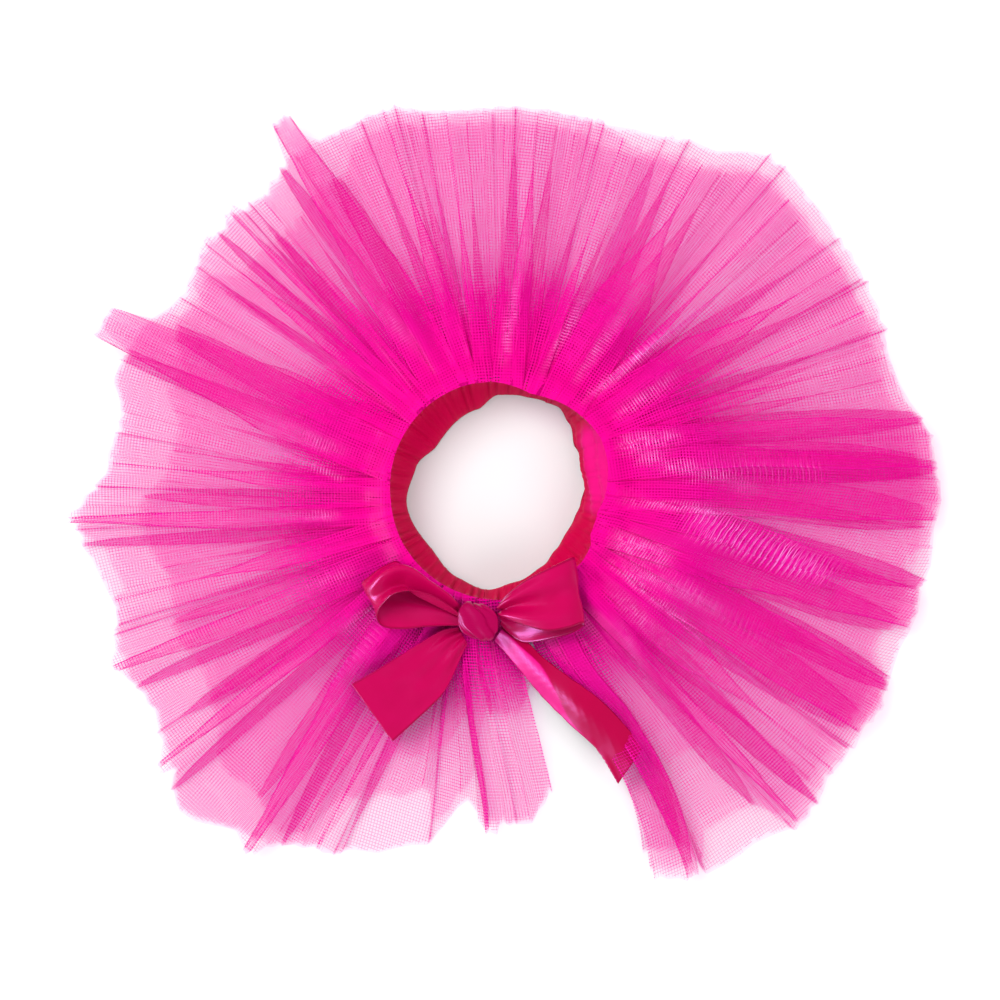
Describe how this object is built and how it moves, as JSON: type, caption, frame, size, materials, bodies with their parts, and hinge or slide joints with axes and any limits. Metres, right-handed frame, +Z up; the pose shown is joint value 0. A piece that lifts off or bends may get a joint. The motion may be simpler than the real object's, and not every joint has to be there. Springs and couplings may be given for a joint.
{
  "type": "dog tutu dress",
  "caption": "Small dog's wrap-round tutu laid out flat: gathered tulle layers on a satin ribbon waistband, tied at the front in a ribbon bow.",
  "frame": {"origin": "middle of the dress in plan, on the surface that it lies on", "axes": "+X across the dress, +Y from the bow towards the back of the waist, +Z up out of the surface"},
  "size_m": [0.3052, 0.2754, 0.034],
  "materials": {
    "tulle": "see-through net with a fine square mesh and a soft sheen",
    "satin_ribbon": "glossy woven satin with firm edges"
  },
  "bodies": {
    "root": {"skirt_under": "tulle", "skirt_middle": "tulle", "skirt_top": "tulle", "waistband": "satin_ribbon", "knot": "satin_ribbon", "loop_left": "satin_ribbon", "loop_right": "satin_ribbon", "tail_left": "satin_ribbon", "tail_right": "satin_ribbon"}
  },
  "joints": []
}
